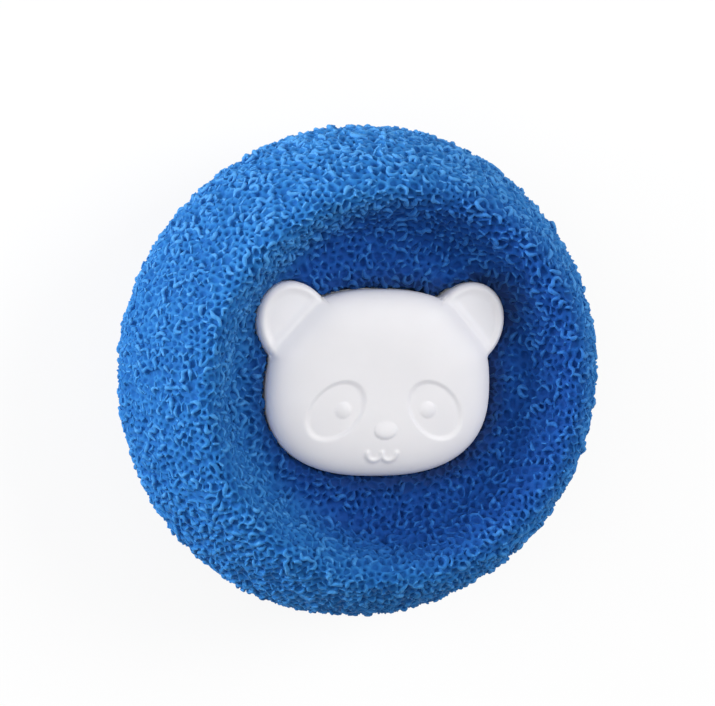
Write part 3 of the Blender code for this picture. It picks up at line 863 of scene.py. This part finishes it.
# %% Heights of the face
EAR_RISE = 0.95 * MM
EAR_ROUND = 0.8 * MM  # the radius of the ear's outer edge
EAR_BORDER = 0.55 * MM  # the raised rim round the ear's inner face
EAR_RECESS = 0.27 * MM
CREASE = 0.9 * MM  # the small radius between head and ear
EAR_CUT = 13.35 * MM  # from the hub's axis to the straight line where the dome ends at an ear
EAR_CUT_TURN = math.radians(42.4)  # the direction of that line's nearest point
EAR_CUT_ROUND = 0.04  # how softly the dome turns down there, as a share of the head
RECESS_START = 0.3 * MM  # from that line to the ear's recess
RECESS_WALL = 0.95 * MM
PATCH_PLACE = (6.75 * MM, -3.7 * MM)
PATCH_HALF_SIZES = (3.4 * MM, 4.7 * MM)
PATCH_LEAN = math.radians(-45)
PATCH_DEPTH = 0.32 * MM
PATCH_WALL = 0.9 * MM
EYE_PLACE = (5.75 * MM, -3.65 * MM)
EYE_RADIUS = 1.1 * MM
EYE_RISE = 0.26 * MM
EYE_POWER = 0.8  # 0.5 is an oval bead, and more is flatter towards its edge
NOSE_HEIGHT = -6.2 * MM
NOSE_HALF_SIZES = (1.6 * MM, 1.2 * MM)
NOSE_RISE = 0.45 * MM
NOSE_POWER = 0.55
NOSE_TOP_SHARE = 0.05  # of its rise is left at its upper end
MOUTH_HEIGHT = -9.25 * MM
MOUTH_ASIDE = -0.25 * MM
MOUTH_ARC = 1.0 * MM
MOUTH_THICKNESS = 0.3 * MM
MOUTH_RISE = 0.24 * MM


def soft_step(value):
    """0 below 0, 1 above 1, and smooth between."""
    value = np.clip(value, 0, 1)
    return value * value * (3 - 2 * value)


def rounded_edge(inwards, rise, radius):
    """A plane of that rise whose edge falls away in a quarter round."""
    out_of_round = 1 - np.clip(inwards / radius, 0, 1)
    return rise * np.sqrt(1 - out_of_round**2)


def past_cut(x, y):
    """How far a place lies beyond the straight line between head and ear."""
    return np.abs(x) * math.cos(EAR_CUT_TURN) + y * math.sin(EAR_CUT_TURN) - EAR_CUT


def dome_share(x, y):
    """The head's share, with its corners cut straight at the ears."""
    return -soft_min(-head_share(x, y), -1 - past_cut(x, y) / EAR_CUT, EAR_CUT_ROUND)


def plain_height(x, y):
    """The head's dome and the ears, without any relief, above the middle."""
    share = dome_share(x, y)
    head = SIDE_TOP + DOME_RISE * np.sqrt(np.clip(1 - share**DOME_POWER, 0, 1))
    head = np.where(share > 1, SHELL_RIM, head)
    inwards = (1 - ear_share(x, y)) * EAR_WIDTH / 2
    ear = SIDE_TOP + rounded_edge(inwards, EAR_RISE, EAR_ROUND)
    recess = soft_step((inwards - EAR_BORDER) / RECESS_WALL)
    ear -= EAR_RECESS * recess * soft_step((past_cut(x, y) - RECESS_START) / RECESS_WALL)
    ear = np.where(inwards < 0, SHELL_RIM, ear)
    height = -soft_min(-head, -ear, CREASE)
    return np.maximum(height, SIDE_TOP)


def oval(x, y, centre, half_sizes, lean=0.0):
    """A share like the head's for one of a mirrored pair of ovals."""
    across, along = leaning(x, y, centre, lean)
    return np.hypot(across / half_sizes[0], along / half_sizes[1])


def relief(x, y):
    """Eye patches pressed in, and eyes, nose and mouth raised."""
    patch = oval(x, y, PATCH_PLACE, PATCH_HALF_SIZES, PATCH_LEAN)
    height = -PATCH_DEPTH * soft_step((1 - patch) * PATCH_HALF_SIZES[1] / PATCH_WALL)
    eye = oval(x, y, EYE_PLACE, (EYE_RADIUS, EYE_RADIUS))
    height = height + EYE_RISE * np.clip(1 - eye**2, 0, 1) ** EYE_POWER
    nose = np.hypot(x / NOSE_HALF_SIZES[0], (y - NOSE_HEIGHT) / NOSE_HALF_SIZES[1])
    towards_chin = 0.5 - 0.5 * (y - NOSE_HEIGHT) / NOSE_HALF_SIZES[1]
    slant = NOSE_TOP_SHARE + (1 - NOSE_TOP_SHARE) * towards_chin
    height = height + NOSE_RISE * np.clip(1 - nose**2, 0, 1) ** NOSE_POWER * slant
    return height + mouth(x, y)


def mouth(x, y):
    """Two hanging arcs side by side, as a soft ridge."""
    aside, over = np.abs(x - MOUTH_ASIDE) - MOUTH_ARC, y - MOUTH_HEIGHT
    angle = np.clip(np.arctan2(over, aside), -math.pi, 0)
    angle = np.where((over > 0) & (aside < 0), -math.pi, angle)
    away = np.hypot(aside - MOUTH_ARC * np.cos(angle), over - MOUTH_ARC * np.sin(angle))
    return MOUTH_RISE * np.exp(-((away / MOUTH_THICKNESS) ** 2))


# %% [markdown]
# The shell is a closed body: the domed outside, the straight side, a flat rim that stands on the
# base plate, and an inside that follows the outside one wall's thickness below it.

# %% Shell mesh
RAYS = 480
MIDDLE_HOLE = 0.015  # the first ring's share of the outline, round the top's point
TOP_RINGS, EDGE_RINGS = 74, 16
EDGE_BAND = 0.09  # the outer share of the outline, where the rings lie closer
EDGE_POWER = 1.7  # 1 spaces them evenly, and more gathers them at the edge
SIDE_STEP = 0.5 * MM  # from the dome's foot to the side's first ring
RIM_BEVEL = 0.15 * MM
INSIDE_SHARES = (1, 0.9, 0.75, 0.5, 0.2)
ray_turns = np.linspace(0, math.tau, RAYS, endpoint=False)
ray_edges = edge_radius(ray_turns)


def ring_at(radii, height):
    """One ring of points with its radii, at one height or at a height for each ray."""
    x, y = radii * np.cos(ray_turns), radii * np.sin(ray_turns)
    return np.stack([x, y, np.broadcast_to(height, x.shape)], 1)


def surface_ring(share, height_at, edges):
    """One ring of points on a surface, at that share of the way from the axis to the edges."""
    x, y = share * edges * np.cos(ray_turns), share * edges * np.sin(ray_turns)
    return np.stack([x, y, height_at(x, y)], 1)


def outside_height(x, y):
    return plain_height(x, y) + relief(x, y)


def inside_height(x, y):
    return plain_height(x, y) - SHELL_WALL


def face_mesh(name):
    """The front face shell, above the middle plane."""
    to_edge = 1 - np.arange(1, EDGE_RINGS + 1) / EDGE_RINGS
    top_shares = np.linspace(MIDDLE_HOLE, 1 - EDGE_BAND, TOP_RINGS)
    spread = np.concatenate([top_shares, 1 - EDGE_BAND * to_edge**EDGE_POWER])
    rings = [surface_ring(share, outside_height, ray_edges) for share in spread]
    rings += [ring_at(ray_edges, SIDE_TOP - SIDE_STEP), ring_at(ray_edges, SHELL_RIM + RIM_BEVEL)]
    rings += [ring_at(ray_edges - RIM_BEVEL, SHELL_RIM)]
    inner = ray_edges - SHELL_WALL
    rings += [ring_at(inner, SHELL_RIM)]
    rings += [surface_ring(share, inside_height, inner) for share in INSIDE_SHARES]
    top = (0.0, 0.0, float(plain_height(np.zeros(1), np.zeros(1))[0]))
    points = np.vstack([[top], *rings, [(0.0, 0.0, top[2] - SHELL_WALL)]])
    points[:, 2] += MIDDLE
    after = (np.arange(RAYS) + 1) % RAYS
    faces = [(0, 1 + i, 1 + after[i]) for i in range(RAYS)]
    for ring in range(len(rings) - 1):
        low, high = 1 + ring * RAYS, 1 + (ring + 1) * RAYS
        faces += [(low + i, high + i, high + after[i], low + after[i]) for i in range(RAYS)]
    last, end = 1 + (len(rings) - 1) * RAYS, len(points) - 1
    faces += [(last + i, end, last + after[i]) for i in range(RAYS)]
    obj = mesh_object(name, points, [tuple(int(i) for i in face) for face in faces])
    obj.data.shade_smooth()
    return obj


front_face = face_mesh("front_face")
rear_face = bpy.data.objects.new("rear_face", front_face.data.copy())
bpy.context.scene.collection.objects.link(rear_face)
down, up = Matrix.Translation((0, 0, -MIDDLE)), Matrix.Translation((0, 0, MIDDLE))
rear_face.data.transform(up @ Matrix.Rotation(math.pi, 4, "Y") @ down)
print("face:", len(front_face.data.polygons), "faces")

# %% [markdown]
# ## White plastic
# Satin polypropylene: a faintly lavender white, light that spreads a little inside it, and the very
# fine grain of a blasted mould.

# %% Plastic material
CLOUD_SCALE, GLOSS_SCALE, GRAIN_SCALE = 180.0, 900.0, 5200.0  # of its three noises, for each metre
CLOUD_SHADE = 0.97  # the plastic's darkest share of its colour
ROUGHNESS = (0.45, 0.6)
GRAIN_DEPTH = 0.02 * MM
PLASTIC_SURFACE = {
    "IOR": 1.49,
    "Subsurface Weight": 0.12,
    "Subsurface Radius": (1.0, 0.9, 0.9),
    "Subsurface Scale": 0.6 * MM,
}


def plastic_material(name, colour, grain):
    made, tree, shader, place = new_material(name)
    stops = ((0.3, tuple(CLOUD_SHADE * part for part in colour)), (0.7, colour))
    shade = ramp(tree, noise(tree, place, CLOUD_SCALE, 4.0), stops)
    feeds = {"Value": noise(tree, place, GLOSS_SCALE, 3.0)}
    feeds |= {"To Min": ROUGHNESS[0], "To Max": ROUGHNESS[1]}
    rough = out(add(tree, "ShaderNodeMapRange", feeds))
    feeds = {"Height": noise(tree, place, GRAIN_SCALE, 2.0), "Strength": grain, "Distance": GRAIN_DEPTH}
    bump = out(add(tree, "ShaderNodeBump", feeds))
    feed(tree, shader, PLASTIC_SURFACE | {"Base Color": shade, "Roughness": rough, "Normal": bump})
    return made


face_plastic = plastic_material("face_plastic", (0.86, 0.85, 0.875), 0.12)
hub_plastic = plastic_material("hub_plastic", (0.83, 0.83, 0.85), 0.3)
for face in (front_face, rear_face):
    face.data.materials.append(face_plastic)
for node in ("hub_column", "front_base_plate", "rear_base_plate"):
    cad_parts[node].data.materials.clear()
    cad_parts[node].data.materials.append(hub_plastic)

# %% [markdown]
# ## What moves with what
# Each piece rides on the body that its solid belongs to, and stands for that solid. The sponge fills
# the space of its solid, and its pits reach in under the surface.

# %% Riding
for piece, body, node, finish in (
    (sponge, "core", "sponge_ring", "blue_sponge"),
    (front_face, "front_half", "front_face_shell", "face_plastic"),
    (rear_face, "rear_half", "rear_face_shell", "face_plastic"),
):
    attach(piece, body)
    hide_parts(node)

# %% [markdown]
# ## Floor, light and camera
# The ball lies on a white floor. A broad lamp low on the left lights the sponge's shoulder and leaves
# the dish in shade. Two softer ones above light the face: the one on the right shows its relief, and
# the weak one on the left keeps its shade pale. The floor is as white as can be for the camera only,
# so that it keeps the ball's soft shadow but throws no more light on the ball than a pale table does.

# %% Floor
FLOOR_SIDE = 3.0
FLOOR_SHADING = 0.13  # how much of the ball's shadow the camera sees on it


def floor_material():
    made = bpy.data.materials.new("floor")
    made.use_nodes = True
    tree = made.node_tree
    tree.nodes.clear()
    path = add(tree, "ShaderNodeLightPath")
    seen = calc(tree, "MAXIMUM", out(path, "Is Camera Ray"), out(path, "Is Glossy Ray"))
    seen = calc(tree, "MAXIMUM", seen, out(path, "Is Transmission Ray"))
    table = add(tree, "ShaderNodeBsdfDiffuse", {"Color": (0.55, 0.55, 0.57, 1.0)})
    bright = add(tree, "ShaderNodeEmission", {"Color": (1.0, 1.0, 1.0, 1.0), "Strength": 1.0})
    shaded = add(tree, "ShaderNodeBsdfDiffuse", {"Color": (1.0, 1.0, 1.0, 1.0)})
    white = add(tree, "ShaderNodeMixShader", {0: FLOOR_SHADING, 1: out(bright), 2: out(shaded)})
    both = add(tree, "ShaderNodeMixShader", {0: seen, 1: out(table), 2: out(white)})
    end = add(tree, "ShaderNodeOutputMaterial")
    tree.links.new(out(both), end.inputs["Surface"])
    return made


signs = ((-1, -1), (1, -1), (1, 1), (-1, 1))
corners = [(x * FLOOR_SIDE / 2, y * FLOOR_SIDE / 2, 0.0) for x, y in signs]
floor = mesh_object("floor", corners, [(0, 1, 2, 3)])
floor.data.materials.append(floor_material())

# %% Lamps and world
LAMPS = (  # name, direction from the ball, distance, width, height and power
    ("right_lamp", (0.6, 0.34, 0.74), 0.8, 0.4, 0.4, 3.2),
    ("left_lamp", (-0.6, 0.1, 0.75), 0.8, 0.5, 0.5, 1.9),
    ("low_lamp", (-0.96, 0.22, 0.09), 0.7, 0.4, 0.1, 4.6),
)
NEAR_SIDE, FAR_SIDE = 0.2, 0.61  # how bright the room is towards the chin and the forehead
centre = Vector((0.0, 0.0, MIDDLE))


def softbox(name, direction, distance, width, height, power):
    """A rectangular lamp that looks at the ball's middle."""
    lamp = bpy.data.lights.new(name, "AREA")
    lamp.shape = "RECTANGLE"
    lamp.size, lamp.size_y = width, height
    lamp.energy = power
    obj = bpy.data.objects.new(name, lamp)
    bpy.context.scene.collection.objects.link(obj)
    direction = Vector(direction).normalized()
    obj.location = centre + distance * direction
    obj.rotation_euler = direction.to_track_quat("Z", "Y").to_euler()


for lamp_row in LAMPS:
    softbox(*lamp_row)
world = bpy.data.worlds.new("studio")
world.use_nodes = True
room = world.node_tree
parts = add(room, "ShaderNodeSeparateXYZ", {0: out(add(room, "ShaderNodeTexCoord"), "Generated")})
feeds = {"Value": out(parts, "Y"), "From Min": -1.0, "To Min": NEAR_SIDE, "To Max": FAR_SIDE}
room.links.new(out(add(room, "ShaderNodeMapRange", feeds)), room.nodes["Background"].inputs["Strength"])
room.nodes["Background"].inputs["Color"].default_value = (1.0, 1.0, 1.0, 1.0)
bpy.context.scene.world = world

# %% Camera
VIEW = Vector((-0.3236, 0.1107, 0.9398))  # from the ball's middle to the camera
ACROSS = Vector((0.9463, 0.0379, 0.3214))  # the picture's right and its top, on the ball
UP = Vector((0.0, 0.9931, -0.117))
DISTANCE = 0.48
PICTURE_WIDTH = 93.7 * MM  # how much of the ball's own plane the picture spans
MOVED_ASIDE, MOVED_UP = -0.21 * MM, 2.42 * MM  # the ball isn't quite in the picture's middle
camera = bpy.data.objects.new("camera", bpy.data.cameras.new("camera"))
bpy.context.scene.collection.objects.link(camera)
aim = centre + MOVED_ASIDE * ACROSS + MOVED_UP * UP
side_way = UP.cross(VIEW).normalized()
turned = Matrix((side_way, VIEW.normalized().cross(side_way), VIEW.normalized())).transposed()
camera.matrix_world = Matrix.Translation(aim + DISTANCE * VIEW.normalized()) @ turned.to_4x4()
camera.data.lens = camera.data.sensor_width * DISTANCE / PICTURE_WIDTH
bpy.context.scene.camera = camera
bpy.context.scene.view_settings.view_transform = "Standard"
print(f"lens {camera.data.lens:.0f} mm")
